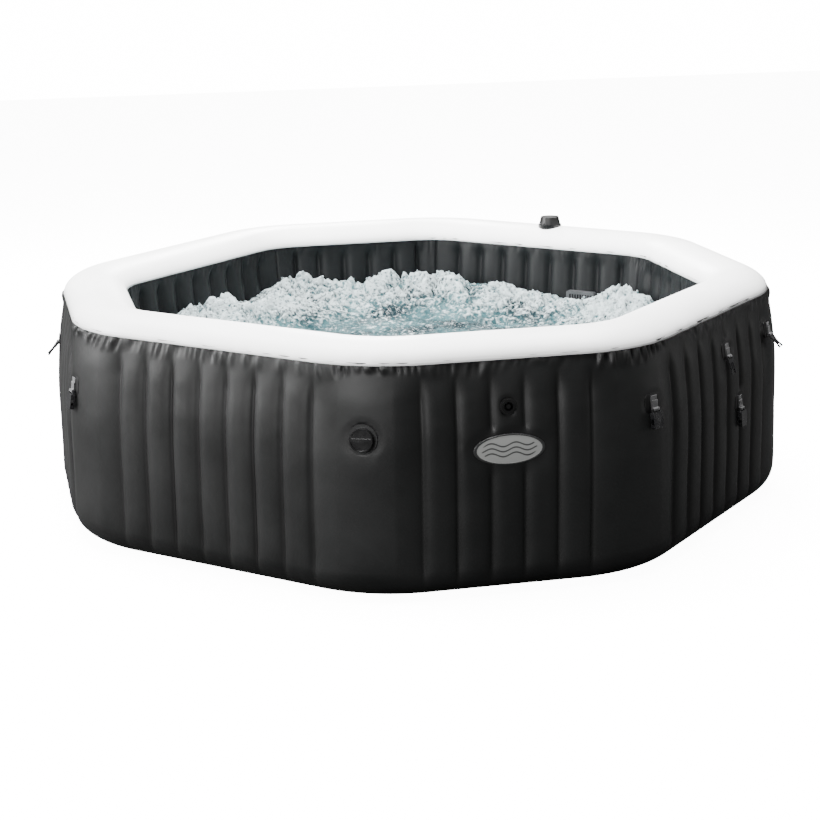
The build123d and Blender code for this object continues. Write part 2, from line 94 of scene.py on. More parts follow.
def noise2(x, y, seed):                        # value noise: eased mix of the four lattice corners, -1 to 1
    ix, iy = np.floor(x), np.floor(y)
    fx, fy = x - ix, y - iy
    fx, fy = fx * fx * (3 - 2 * fx), fy * fy * (3 - 2 * fy)
    a, b = hash2(ix, iy, seed), hash2(ix + 1, iy, seed)
    c, d = hash2(ix, iy + 1, seed), hash2(ix + 1, iy + 1, seed)
    return 2 * (a + (b - a) * fx + (c - a) * fy + (a - b - c + d) * fx * fy) - 1


def layered(x, y, seed, octaves):              # sum of noises, each twice as fine and half as strong
    total = np.zeros(np.broadcast(x, y).shape)
    for i in range(octaves):
        total += noise2(x * 2 ** i, y * 2 ** i, seed + 13 * i) / 2 ** i
    return total


def addPiece(name, points, faces, smoothed=True):
    mesh = bpy.data.meshes.new(name)
    mesh.from_pydata(points, [], faces)
    if smoothed:
        mesh.polygons.foreach_set("use_smooth", np.ones(len(faces), bool))
    mesh.update()
    piece = bpy.data.objects.new(name, mesh)
    bpy.context.scene.collection.objects.link(piece)
    return piece


def gridQuads(points, wrapU, wrapV):
    # points is rows x columns x 3; neighbouring points become quads, joined end to end where wrapped
    rows, cols = points.shape[:2]
    i = np.arange(rows if wrapV else rows - 1)[:, None]
    j = np.arange(cols if wrapU else cols - 1)[None, :]
    i2, j2 = (i + 1) % rows, (j + 1) % cols
    return np.stack([i * cols + j, i * cols + j2, i2 * cols + j2, i2 * cols + j], -1).reshape(-1, 4)


def gridMesh(name, points, wrapU=False):
    return addPiece(name, points.reshape(-1, 3).tolist(), gridQuads(points, wrapU, False).tolist())


def storeValue(piece, name, values):
    attribute = piece.data.attributes.new(name, "FLOAT", "POINT")
    attribute.data.foreach_set("value", np.ascontiguousarray(values, dtype=np.float32).ravel())


# plan of the tub

def apothem(side):
    return tub["halfShort"] if side % 2 == 0 else tub["halfLong"]


def halfFlat(side):                            # half a side's straight length, between its corner arcs
    here, beside = apothem(side) - tub["cornerRadius"], apothem(side + 1) - tub["cornerRadius"]
    turn = math.radians(45)
    return (beside - here * math.cos(turn)) / math.sin(turn)


def planLoop(step):
    # round the tub: centre line point, outward normal, distance from the side's middle, side, corner share
    centres, normals, along, sides, corner = [], [], [], [], []
    for side in range(8):
        theta = math.radians(45 * side)
        out = np.array([math.cos(theta), math.sin(theta)])
        level = np.array([-out[1], out[0]])
        base = apothem(side) - tub["cornerRadius"]
        half = halfFlat(side)
        count = int(round(2 * half / step))
        t = -half + 2 * half * np.arange(count) / count
        centres.append(base * out + t[:, None] * level)
        normals.append(np.repeat(out[None], count, 0))
        along.append(t)
        sides.append(np.full(count, side))
        corner.append(np.zeros(count))
        arcCount = int(round(tub["cornerRadius"] * math.radians(45) / step))
        phi = theta + math.radians(45) * np.arange(arcCount) / arcCount
        hub = base * out + half * level
        centres.append(np.repeat(hub[None], arcCount, 0))
        normals.append(np.stack([np.cos(phi), np.sin(phi)], -1))
        near = phi - theta <= math.radians(22.5)
        past = tub["cornerRadius"] * (phi - theta)
        before = tub["cornerRadius"] * (phi - theta - math.radians(45)) - halfFlat(side + 1)
        along.append(np.where(near, half + past, before))
        sides.append(np.where(near, side, (side + 1) % 8))
        corner.append(1 - np.abs((phi - theta) / math.radians(22.5) - 1))
    join = np.concatenate
    return join(centres), join(normals), join(along), join(sides), join(corner)


def ringPoints(loop, inset, z, push):
    # inset and z run down the rows, push is rows x columns of extra distance along the normal
    centres, normals = loop[0], loop[1]
    reach = tub["cornerRadius"] - inset[:, None] + push
    flat = centres[None] + reach[..., None] * normals[None]
    return np.concatenate([flat, np.broadcast_to(z[:, None, None], flat.shape[:2] + (1,))], -1)


def ribShape(loop):
    # 0 on a weld seam, 1 in the middle of a rib; the wide panel at each corner swells once
    along, sides = loop[2], loop[3]
    count = np.where(sides % 2 == 0, ribs["shortSeams"], ribs["longSeams"])
    edge = (count - 1) / 2 * ribs["pitch"]
    phase = (along + edge) / ribs["pitch"]
    within = np.abs(along) <= edge
    x = np.where(within, phase - np.floor(phase), 0.5)
    rib = np.clip(1 - np.abs(2 * x - 1) ** 2.6, 0, 1) ** 0.72
    half = np.where(sides % 2 == 0, halfFlat(0), halfFlat(1))
    past = np.abs(along) - edge
    room = half + tub["cornerRadius"] * math.radians(22.5) - edge
    x2 = np.clip(past / (2 * room), 0, 0.5)
    wide = np.sqrt(np.clip(1 - (2 * x2 - 1) ** 2, 0, 1))
    wide = np.minimum(1, wide * 1.15)
    return np.where(within, rib, wide), within


def outerSection(count):
    # foot rounding, upright, then the lean in to the seam
    r, low = tub["footRadius"], floorTop
    turn = np.linspace(0, math.pi / 2, outerSkin["footRows"])
    footO, footZ = r * (1 - np.sin(turn)), low + r * (1 - np.cos(turn))
    valveZ = outerSkin["valveRowsFrom"]
    puckerZ = tub["outerSeamZ"] - outerSkin["puckerBand"]
    plainRows = np.linspace(low + r, valveZ, outerSkin["plainRows"])[1:]
    valveRows = np.linspace(valveZ, puckerZ, outerSkin["valveRows"])[1:]
    left = count - (outerSkin["footRows"] - 1) - len(plainRows) - len(valveRows)
    puckerRows = np.linspace(puckerZ, tub["outerSeamZ"], left)[1:]
    z = np.concatenate([plainRows, valveRows, puckerRows])
    radius = (tub["leanHeight"] ** 2 + tub["seamInset"] ** 2) / (2 * tub["seamInset"])
    above = np.maximum(0, z - (tub["outerSeamZ"] - tub["leanHeight"]))
    return np.concatenate([footO, radius - np.sqrt(radius ** 2 - above ** 2)]), np.concatenate([footZ, z])


# the camera looks down a little from in front, a few degrees to the left

camera = {"azimuth": -0.2283, "elevation": 0.2293, "roll": -0.0163, "distance": 6.0434,
          "aimHeight": 0.3944, "lens": 84.26, "shiftX": -0.0043, "shiftY": -0.0605}


def makeCamera():
    az, el, roll = camera["azimuth"], camera["elevation"], camera["roll"]
    back = Vector((math.sin(az) * math.cos(el), -math.cos(az) * math.cos(el), math.sin(el)))
    right = (-back).cross(Vector((0, 0, 1))).normalized()
    up = right.cross(-back)
    turned = right * math.cos(roll) + up * math.sin(roll)
    upright = up * math.cos(roll) - right * math.sin(roll)
    data = bpy.data.cameras.new("camera")
    data.lens, data.sensor_width = camera["lens"], 36
    data.shift_x, data.shift_y = camera["shiftX"], camera["shiftY"]
    data.clip_end = 60
    eye = bpy.data.objects.new("camera", data)
    place = back * camera["distance"] + Vector((0, 0, camera["aimHeight"]))
    eye.matrix_world = Matrix.Translation(place) @ Matrix((turned, upright, back)).transposed().to_4x4()
    bpy.context.scene.collection.objects.link(eye)
    bpy.context.scene.camera = eye


def makeLight(name, place, aim, size, power):
    data = bpy.data.lights.new(name, "AREA")
    data.shape, data.size, data.size_y, data.energy = "RECTANGLE", size[0], size[1], power
    lamp = bpy.data.objects.new(name, data)
    direction = Vector(aim) - Vector(place)
    lamp.matrix_world = Matrix.Translation(place) @ direction.to_track_quat("-Z", "Y").to_matrix().to_4x4()
    bpy.context.scene.collection.objects.link(lamp)


studio = {"backdrop": 16.0, "fill": 0.18, "floorReach": 14, "floorGlow": 12.0, "floorWhite": 0.93, "floorBounce": 0.05}
lights = {
    "key": {"place": (-5.0, 0.6, 2.3), "aim": (0, 0, 0.35), "size": (2.4, 2.4), "power": 720},
    "front": {"place": (-3.4, -4.6, 2.2), "aim": (0, -0.6, 0.3), "size": (1.2, 1.8), "power": 300},
    "top": {"place": (0.0, 0.5, 5.0), "aim": (0, 0, 0), "size": (5.0, 5.0), "power": 1850},
    "edge": {"place": (4.2, -1.0, 0.7), "aim": (0.9, -0.5, 0.15), "size": (0.5, 2.4), "power": 20},
    "glint": {"place": (0.6, 4.2, 3.0), "aim": (0, 0, 0.45), "size": (0.8, 0.8), "power": 260},
}


def cameraOnly(tree, seen, unseen, blend):
    # one input takes a value for the camera's own rays and another for all light that bounces
    rays = tree.nodes.new("ShaderNodeLightPath")
    pick = tree.nodes.new("ShaderNodeMix")
    pick.data_type = "FLOAT"
    pick.inputs[2].default_value, pick.inputs[3].default_value = unseen, seen
    tree.links.new(rays.outputs["Is Camera Ray"], pick.inputs[0])
    tree.links.new(pick.outputs[0], blend)


def makeStudio():
    world = bpy.data.worlds.new("studio")
    world.use_nodes = True
    sky = world.node_tree.nodes["Background"]
    sky.inputs[0].default_value = (1, 1, 1, 1)
    cameraOnly(world.node_tree, studio["backdrop"], studio["fill"], sky.inputs[1])
    bpy.context.scene.world = world
    for name, light in lights.items():
        makeLight(name, **light)
    # floor: one flat square, far wider than the view
    x = np.linspace(-studio["floorReach"], studio["floorReach"], 2)
    gx, gy = np.meshgrid(x, x)
    floor = gridMesh("floor", np.stack([gx, gy, np.zeros_like(gx)], -1))
    floor.data.materials.append(makeFloorPaint())


# shader building

def newMaterial(name):
    material = bpy.data.materials.new(name)
    material.use_nodes = True
    return material, material.node_tree, material.node_tree.nodes["Principled BSDF"]


def node(tree, kind, **values):
    made = tree.nodes.new(kind)
    for key, value in values.items():
        if key in made.inputs:
            made.inputs[key].default_value = value
        else:
            setattr(made, key, value)
    return made


def link(tree, a, b):
    tree.links.new(a, b)


def makeFloorPaint():
    material, tree, shader = newMaterial("floorPaint")
    shader.inputs["Roughness"].default_value = 0.9
    shader.inputs["Specular IOR Level"].default_value = 0.0
    shader.inputs["Emission Color"].default_value = (1, 1, 1, 1)
    cameraOnly(tree, studio["floorGlow"], 0.0, shader.inputs["Emission Strength"])
    tone = node(tree, "ShaderNodeCombineColor")
    for label in ("Red", "Green", "Blue"):
        cameraOnly(tree, studio["floorWhite"], studio["floorBounce"], tone.inputs[label])
    link(tree, tone.outputs["Color"], shader.inputs["Base Color"])
    return material


def grainGroup():
    # fine embossed grain: object position in, height and a slow mottling value out
    group = bpy.data.node_groups.new("vinylGrain", "ShaderNodeTree")
    for label, kind, way in (("Fine Scale", "NodeSocketFloat", "INPUT"), ("Mottle Scale", "NodeSocketFloat", "INPUT"),
                             ("Height", "NodeSocketFloat", "OUTPUT"), ("Mottle", "NodeSocketFloat", "OUTPUT")):
        group.interface.new_socket(label, in_out=way, socket_type=kind)
    inlet, outlet = node(group, "NodeGroupInput"), node(group, "NodeGroupOutput")
    place = node(group, "ShaderNodeTexCoord")
    fine = node(group, "ShaderNodeTexVoronoi")
    soft = node(group, "ShaderNodeTexNoise", Detail=4.0, Roughness=0.6)
    mottle = node(group, "ShaderNodeTexNoise", Detail=3.0, Roughness=0.55)
    mix = node(group, "ShaderNodeMath", operation="MULTIPLY_ADD")
    mix.inputs[1].default_value = 0.5
    for texture in (fine, soft, mottle):
        link(group, place.outputs["Object"], texture.inputs["Vector"])
    link(group, inlet.outputs["Fine Scale"], fine.inputs["Scale"])
    link(group, inlet.outputs["Fine Scale"], soft.inputs["Scale"])
    link(group, inlet.outputs["Mottle Scale"], mottle.inputs["Scale"])
    link(group, fine.outputs["Distance"], mix.inputs[0])
    link(group, soft.outputs["Fac"], mix.inputs[2])
    link(group, mix.outputs[0], outlet.inputs["Height"])
    link(group, mottle.outputs["Fac"], outlet.inputs["Mottle"])
    return group


grain = grainGroup()


def grained(name, look):
    # colour and roughness drift with the mottling, and the grain is in the bump
    material, tree, shader = newMaterial(name)
    used = node(tree, "ShaderNodeGroup")
    used.node_tree = grain
    used.inputs["Fine Scale"].default_value = look["fineScale"]
    used.inputs["Mottle Scale"].default_value = look["mottleScale"]
    ramp = node(tree, "ShaderNodeValToRGB")
    ramp.color_ramp.elements[0].position, ramp.color_ramp.elements[0].color = 0.32, (*look["dark"], 1)
    ramp.color_ramp.elements[1].position, ramp.color_ramp.elements[1].color = 0.68, (*look["light"], 1)
    rough = node(tree, "ShaderNodeMapRange")
    rough.inputs["From Min"].default_value, rough.inputs["From Max"].default_value = 0.3, 0.7
    rough.inputs["To Min"].default_value, rough.inputs["To Max"].default_value = look["roughness"]
    bump = node(tree, "ShaderNodeBump", Strength=1.0, Distance=look["depth"])
    link(tree, used.outputs["Mottle"], ramp.inputs["Fac"])
    link(tree, used.outputs["Mottle"], rough.inputs["Value"])
    link(tree, used.outputs["Height"], bump.inputs["Height"])
    link(tree, ramp.outputs["Color"], shader.inputs["Base Color"])
    link(tree, rough.outputs["Result"], shader.inputs["Roughness"])
    link(tree, bump.outputs["Normal"], shader.inputs["Normal"])
    shader.inputs["Specular IOR Level"].default_value = look["specular"]
    return material


def byAttribute(tree, name):
    return node(tree, "ShaderNodeAttribute", attribute_name=name).outputs["Fac"]


waterLook = {
    "deep": (0.006, 0.026, 0.034, 1),
    "aerated": (0.090, 0.215, 0.235, 1),
    "foam": (0.74, 0.86, 0.88, 1),
    "roughness": (0.08, 0.40),
    "speckle": 2.6,                            # how strongly fine noise breaks up the foam
    "cells": 0.80,
    "foamFrom": 2.10,                          # cover where foam starts and where it is whole
    "foamWhole": 2.62,
    "bump": 0.016,
}


def makeWater():
    # dark glassy water, aerated teal water and white foam, mixed by the height field's own values
    material, tree, shader = newMaterial("churnedWater")
    place = node(tree, "ShaderNodeTexCoord")
    speckle = node(tree, "ShaderNodeTexNoise", Scale=62.0, Detail=5.0, Roughness=0.8)
    bubbles = node(tree, "ShaderNodeTexVoronoi", Scale=75.0)
    patch = node(tree, "ShaderNodeTexNoise", Scale=6.0, Detail=5.0, Roughness=0.65)
    for texture in (speckle, bubbles, patch):
        link(tree, place.outputs["Object"], texture.inputs["Vector"])
    tone = node(tree, "ShaderNodeValToRGB")
    tone.color_ramp.elements[0].position, tone.color_ramp.elements[0].color = 0.40, waterLook["deep"]
    tone.color_ramp.elements[1].position, tone.color_ramp.elements[1].color = 0.62, waterLook["aerated"]
    link(tree, patch.outputs["Fac"], tone.inputs["Fac"])
    # cover = foam + fine speckle, less a little in the middle of each bubble
    cover = node(tree, "ShaderNodeMath", operation="MULTIPLY_ADD")
    cover.inputs[1].default_value = waterLook["speckle"]
    link(tree, speckle.outputs["Fac"], cover.inputs[0])
    link(tree, byAttribute(tree, "foam"), cover.inputs[2])
    cells = node(tree, "ShaderNodeMath", operation="MULTIPLY_ADD")
    cells.inputs[1].default_value = waterLook["cells"]
    link(tree, bubbles.outputs["Distance"], cells.inputs[0])
    link(tree, cover.outputs[0], cells.inputs[2])
    edge = node(tree, "ShaderNodeMapRange")
    edge.inputs["From Min"].default_value = waterLook["foamFrom"]
    edge.inputs["From Max"].default_value = waterLook["foamWhole"]
    link(tree, cells.outputs[0], edge.inputs["Value"])
    colour = node(tree, "ShaderNodeMix", data_type="RGBA")
    colour.inputs[7].default_value = waterLook["foam"]
    link(tree, edge.outputs["Result"], colour.inputs[0])
    link(tree, tone.outputs["Color"], colour.inputs[6])
    link(tree, colour.outputs[2], shader.inputs["Base Color"])
    rough = node(tree, "ShaderNodeMapRange")
    rough.inputs["To Min"].default_value, rough.inputs["To Max"].default_value = waterLook["roughness"]
    link(tree, edge.outputs["Result"], rough.inputs["Value"])
    link(tree, rough.outputs["Result"], shader.inputs["Roughness"])
    bump = node(tree, "ShaderNodeBump", Strength=1.0, Distance=waterLook["bump"])
    link(tree, cells.outputs[0], bump.inputs["Height"])
    link(tree, bump.outputs["Normal"], shader.inputs["Normal"])
    shader.inputs["IOR"].default_value = 1.33
    return material


def makeWebbing():
    # fine cross ribs of the weave, from object coordinates
    material, tree, shader = newMaterial("wovenWebbing")
    place = node(tree, "ShaderNodeTexCoord")
    weave = node(tree, "ShaderNodeTexWave", wave_type="BANDS", bands_direction="Z", Scale=160.0, Distortion=0.5)
    link(tree, place.outputs["Object"], weave.inputs["Vector"])
    ramp = node(tree, "ShaderNodeValToRGB")
    ramp.color_ramp.elements[0].color = (0.008, 0.008, 0.009, 1)
    ramp.color_ramp.elements[1].color = (0.03, 0.03, 0.032, 1)
    link(tree, weave.outputs["Fac"], ramp.inputs["Fac"])
    link(tree, ramp.outputs["Color"], shader.inputs["Base Color"])
    bump = node(tree, "ShaderNodeBump", Strength=0.7, Distance=0.0008)
    link(tree, weave.outputs["Fac"], bump.inputs["Height"])
    link(tree, bump.outputs["Normal"], shader.inputs["Normal"])
    shader.inputs["Roughness"].default_value = 0.8
    shader.inputs["Sheen Weight"].default_value = 0.3
    return material


grainedLooks = {
    "blackVinyl": {
        "dark": (0.0060, 0.0062, 0.0062), "light": (0.0090, 0.0092, 0.0092), "roughness": (0.44, 0.54),
        "fineScale": 520.0, "mottleScale": 5.0, "depth": 0.00022, "specular": 0.27,
    },
    "innerVinyl": {
        "dark": (0.0045, 0.0052, 0.0056), "light": (0.0075, 0.0084, 0.0090), "roughness": (0.38, 0.5),
        "fineScale": 480.0, "mottleScale": 6.0, "depth": 0.00025, "specular": 0.18,
    },
    "whiteVinyl": {
        "dark": (0.86, 0.86, 0.855), "light": (0.90, 0.90, 0.895), "roughness": (0.34, 0.46),
        "fineScale": 380.0, "mottleScale": 4.0, "depth": 0.00015, "specular": 0.5,
    },
    "floorVinyl": {
        "dark": (0.040, 0.045, 0.052), "light": (0.055, 0.062, 0.070), "roughness": (0.45, 0.6),
        "fineScale": 420.0, "mottleScale": 5.0, "depth": 0.0003, "specular": 0.5,
    },
    "mouldedVinyl": {
        "dark": (0.004, 0.004, 0.0042), "light": (0.006, 0.006, 0.0062), "roughness": (0.42, 0.52),
        "fineScale": 700.0, "mottleScale": 12.0, "depth": 0.0002, "specular": 0.2,
    },
    "mouldedPlastic": {
        "dark": (0.0035, 0.0035, 0.0037), "light": (0.0060, 0.0060, 0.0062), "roughness": (0.20, 0.30),
        "fineScale": 900.0, "mottleScale": 30.0, "depth": 0.00006, "specular": 0.4,
    },
    "knobPlastic": {
        "dark": (0.004, 0.004, 0.004), "light": (0.007, 0.007, 0.007), "roughness": (0.38, 0.5),
        "fineScale": 800.0, "mottleScale": 25.0, "depth": 0.0001, "specular": 0.3,
    },
    "greyPlastic": {
        "dark": (0.030, 0.032, 0.034), "light": (0.050, 0.052, 0.055), "roughness": (0.32, 0.45),
        "fineScale": 700.0, "mottleScale": 25.0, "depth": 0.0001, "specular": 0.5,
    },
    "bucklePlastic": {
        "dark": (0.008, 0.008, 0.009), "light": (0.014, 0.014, 0.015), "roughness": (0.18, 0.3),
        "fineScale": 900.0, "mottleScale": 40.0, "depth": 0.00006, "specular": 0.5,
    },
    "badgePlastic": {
        "dark": (0.36, 0.37, 0.36), "light": (0.43, 0.44, 0.43), "roughness": (0.3, 0.42),
        "fineScale": 600.0, "mottleScale": 20.0, "depth": 0.00006, "specular": 0.5,
    },
    "sealRubber": {
        "dark": (0.010, 0.010, 0.010), "light": (0.02, 0.02, 0.02), "roughness": (0.65, 0.8),
        "fineScale": 600.0, "mottleScale": 30.0, "depth": 0.0001, "specular": 0.5,
    },
    "meshFabric": {
        "dark": (0.50, 0.50, 0.47), "light": (0.62, 0.62, 0.58), "roughness": (0.7, 0.85),
        "fineScale": 300.0, "mottleScale": 20.0, "depth": 0.0004, "specular": 0.5,
    },
}
finishes = {name: grained(name, look) for name, look in grainedLooks.items()}
steel, _, steelShader = newMaterial("springSteel")
steelShader.inputs["Base Color"].default_value = (0.6, 0.6, 0.62, 1)
steelShader.inputs["Metallic"].default_value = 1.0
steelShader.inputs["Roughness"].default_value = 0.28
finishes["springSteel"] = steel
finishes["webbing"] = makeWebbing()
finishes["water"] = makeWater()
print("finishes ready")


def makeBadgeFace():
    material, tree, shader = newMaterial("badgeFace")
    colour = node(tree, "ShaderNodeMix", data_type="RGBA")
    colour.inputs[6].default_value, colour.inputs[7].default_value = (0.23, 0.233, 0.227, 1), (0.022, 0.023, 0.023, 1)
    link(tree, byAttribute(tree, "mark"), colour.inputs[0])
    link(tree, colour.outputs[2], shader.inputs["Base Color"])
    shader.inputs["Roughness"].default_value = 0.3
    return material


finishes["badgeFace"] = makeBadgeFace()


def weldPoles(piece, value=None):
    # joins the points of each pole and faces the skin outward
    if value:
        storeValue(piece, *value)
    work = bmesh.new()
    work.from_mesh(piece.data)
    bmesh.ops.remove_doubles(work, verts=work.verts[:], dist=2e-5)
    bmesh.ops.recalc_face_normals(work, faces=work.faces[:])
    work.to_mesh(piece.data)
    work.free()
    return piece


def signedVolume(points, quads):
    a, b, c, d = (points[quads[:, i]] for i in range(4))
    return (np.einsum("ij,ij->i", a, np.cross(b, c)) + np.einsum("ij,ij->i", a, np.cross(c, d))).sum()


def closedRing(name, points):
    # a ring whose rows close on themselves; turned outward by its signed volume
    quads = gridQuads(points, True, True)
    flat = points.reshape(-1, 3)
    if signedVolume(flat, quads) < 0:
        quads = quads[:, ::-1]
    return addPiece(name, flat.tolist(), quads.tolist())


def skinRing(name, loop, inset, z, push, depth):
    # the outer rows as given, then eight plain rows behind them that close the skin
    back = np.linspace(len(z) - 1, 0, 8).astype(int)
    allInset = np.concatenate([inset, inset[back] + depth])
    allPush = np.concatenate([push, np.zeros((8, push.shape[1]))])
    return closedRing(name, ringPoints(loop, allInset, np.concatenate([z, z[back]]), allPush))


def arcLength(loop, step):
    return np.arange(len(loop[2])) * step


flatSeats = ("badge_plate", "valve_flange", "relief_flange", "air_flange", "outlet_seal", "inlet_seal")
seatNodes = [n for n in frame["nodes"] if n.endswith("_patch") or n in flatSeats]


def seatMask(points):
    # 0 where a fitting lies on the wall, 1 a little way off; the distance is in half sizes of the fitting
    mask = np.ones(points.shape[:2])
    for name in seatNodes:
        low, high = (np.array(corner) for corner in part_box(name))
        half = (high - low) / 2
        away = points - (low + high) / 2
        off = np.hypot(np.hypot(away[..., 0], away[..., 1]) / np.hypot(half[0], half[1]), away[..., 2] / half[2])
        mask = np.minimum(mask, smooth(1.0, 1.5, off))
    return mask


wrinkles = {"length": 0.060, "height": 0.0074, "pitch": 0.019, "seed": 4}


def wrinklePush(loop, step, z, edgeZ, settings, cornerOnly):
    # short creases under a seam: a ridged noise along the wall that slants and fades downward
    s = arcLength(loop, step)[None]
    below = (edgeZ - z)[:, None]
    slant = 0.5 * noise2(s * 2.2, 0 * s, settings["seed"])
    across = (s + slant * below) / settings["pitch"]
    ridge = 1 - 2 * np.abs(noise2(across, 0.4 * below / settings["length"] + 0 * s, settings["seed"] + 1))
    ridge = ridge + 0.4 * noise2(across * 2.3, 0 * across, settings["seed"] + 2)
    reach = settings["length"] * (0.75 + 0.35 * noise2(s * 9, 0 * s, settings["seed"] + 3))
    fade = smooth(1.0, 0.35, below / reach) * smooth(0.004, 0.013, below)
    patches = loop[4] + 0.35 * (loop[3] % 2 == 0) + 0.35 * noise2(s * 3.1, 0 * s, settings["seed"] + 4)
    where = 0.42 + 0.58 * smooth(0.05, 0.5, patches)
    if not cornerOnly:
        where = 0.55 + 0.45 * noise2(s * 2.7, 0 * s, settings["seed"] + 5)
    return settings["height"] * ridge * fade * where


outerSkin = {
    "step": 0.0052,                            # spacing of the points round the tub
    "rows": 64,
    "footRows": 15,
    "plainRows": 13,
    "valveRowsFrom": 0.40,                     # closer rows above this height, past the valves
    "valveRows": 16,
    "puckerBand": 0.115,                       # closest rows over this height below the seam
    "depth": 0.050,                            # how far inwards the back of the skin lies
    "fullness": 0.0035,
    "sway": 0.0012,
}

# a pocket behind each valve: heading round the tub, height, radius
valvePockets = {
    "depth": 0.042,
    "fullTo": 0.70,                            # shares of the radius where the pocket is full and gone
    "goneBy": 0.90,
    "places": ((246.0, 0.446, 0.038), (270.0, 0.513, 0.021)),
}


def makeOuterWall():
    step = outerSkin["step"]
    loop = planLoop(step)
    inset, z = outerSection(outerSkin["rows"])
    rib, within = ribShape(loop)
    foot = smooth(floorTop + 0.012, floorTop + ribs["fadeFoot"] + 0.03, z)
    top = 1 - smooth(tub["outerSeamZ"] - ribs["fadeTop"] - 0.035, tub["outerSeamZ"] - 0.02, z)
    flat = ringPoints(loop, inset, z, np.zeros((len(z), len(rib))))
    seat = seatMask(flat)
    strength = (foot * top)[:, None] * seat
    push = ribs["depth"] * (rib[None] - 1) * strength + outerSkin["fullness"] * strength * within[None]
    push += ribs["cornerSwell"] * (~within)[None] * strength * rib[None] ** 2
    push += wrinklePush(loop, step, z, tub["outerSeamZ"], wrinkles, True)
    s = arcLength(loop, step)[None]
    sway = outerSkin["sway"] * layered(s * 6 + 0 * z[:, None], z[:, None] * 9 + 0 * s, 21, 3)
    push += sway * (foot * top)[:, None] * seat
    # the pockets are inside the valves' flanges and leave room for each body and its moving stem
    for heading, height, reach in valvePockets["places"]:
        off = np.linalg.norm(flat - wallFrame(heading, 0.0, height)[0], axis=-1)
        fade = smooth(valvePockets["fullTo"] * reach, valvePockets["goneBy"] * reach, off)
        push -= valvePockets["depth"] * (1 - fade)
    wall = skinRing("outerWallSkin", loop, inset, z, push, outerSkin["depth"])
    wall.data.materials.append(finishes["blackVinyl"])
    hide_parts("outer_wall")
    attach(wall, "tub")


rim = {
    "step": 0.011,
    "rows": 46,
    "overhang": 0.006,
    "fullness": 0.62,                          # power of the sine: smaller is squarer
    "crinkle": 0.0016,
    "sway": 0.0025,
    "lap": 0.007,
    "lapOut": 0.0040,
    "underRows": 8,
    "underDrop": 0.008,
    "underInset": 0.004,
}


def makeRim():
    step = rim["step"]
    loop = planLoop(step)
    share = (1 - np.cos(np.linspace(0, math.pi, rim["rows"]))) / 2
    width = tub["innerSeamInset"] - tub["seamInset"]
    base = tub["outerSeamZ"] + (tub["innerSeamZ"] - tub["outerSeamZ"]) * share
    crown = tub["rimTop"] - (tub["outerSeamZ"] + tub["innerSeamZ"]) / 2
    z = base + crown * np.sin(math.pi * share) ** rim["fullness"]
    inset = tub["seamInset"] + width * share - rim["overhang"] * np.sin(math.pi * share) * np.cos(math.pi * share)
    s = arcLength(loop, step)[None]
    edge = smooth(0.3, 0.02, share)[:, None] + smooth(0.75, 0.98, share)[:, None]
    uneven = 0.6 + 0.6 * noise2(s * 2, 0 * s, 32)
    push = rim["crinkle"] * noise2(s * 34, share[:, None] * 5 + 0 * s, 31) * edge * uneven
    push += rim["sway"] * noise2(s * 1.6, share[:, None] * 2 + 0 * s, 33) * np.sin(math.pi * share)[:, None]
    # a narrow welded lap hangs over each wall's top edge, then a plain underside closes the skin
    lap = rim["lap"]
    z = np.concatenate([[z[0] - lap], z, [z[-1] - lap]])
    inset = np.concatenate([[inset[0] - rim["lapOut"]], inset, [inset[-1] + rim["lapOut"]]])
    push = np.concatenate([push[:1], push, push[-1:]])
    back = np.linspace(1, 0, rim["underRows"])
    under = base[0] - rim["underDrop"] + (base[-1] - base[0]) * back
    allZ = np.concatenate([z, under])
    allInset = np.concatenate([inset, tub["seamInset"] + rim["underInset"] + (width - 2 * rim["underInset"]) * back])
    allPush = np.concatenate([push, np.zeros((rim["underRows"], push.shape[1]))])
    piece = closedRing("rimSkin", ringPoints(loop, allInset, allZ, allPush))
    piece.data.materials.append(finishes["whiteVinyl"])
    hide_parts("top_rim")
    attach(piece, "tub")


def innerSection(rows):
    z = np.linspace(tub["innerSeamZ"], floorTop, rows)
    share = (z - floorTop) / (tub["innerSeamZ"] - floorTop)
    chord = tub["innerFootInset"] + (tub["innerSeamInset"] - tub["innerFootInset"]) * share
    bow = tub["innerSeamInset"] + tub["innerBelly"] - (tub["innerSeamInset"] + tub["innerFootInset"]) / 2
    return chord + bow * 4 * share * (1 - share), z


innerSkin = {"step": 0.0062, "rows": 74, "depth": 0.030, "weldPull": 0.007, "weldWidth": 0.05}
innerWrinkles = dict(wrinkles, height=0.0034, pitch=0.017, length=0.075, seed=51)


def makeInnerWall():
    step = innerSkin["step"]
    loop = planLoop(step)
    inset, z = innerSection(innerSkin["rows"])
    rib = ribShape(loop)[0]
    top = 1 - smooth(tub["innerSeamZ"] - 0.06, tub["innerSeamZ"] - 0.008, z)
    foot = smooth(floorTop + 0.03, floorTop + 0.1, z)
    push = -ribs["innerDepth"] * (rib[None] - 1) * (top * foot)[:, None]
    weld = np.exp(-((1 - loop[4]) / innerSkin["weldWidth"]) ** 2)[None]
    push += innerSkin["weldPull"] * (weld * smooth(0.0, 0.02, tub["innerSeamZ"] - z)[:, None])
    push -= wrinklePush(loop, step, z, tub["innerSeamZ"], innerWrinkles, False)
    piece = skinRing("innerWallSkin", loop, inset, z, push, -innerSkin["depth"])
    piece.data.materials.append(finishes["innerVinyl"])
    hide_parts("inner_wall")
    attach(piece, "tub")


webs = {"thick": 0.0014, "footGap": 0.01, "topGap": 0.03, "outerGap": 0.060, "innerGap": 0.020}


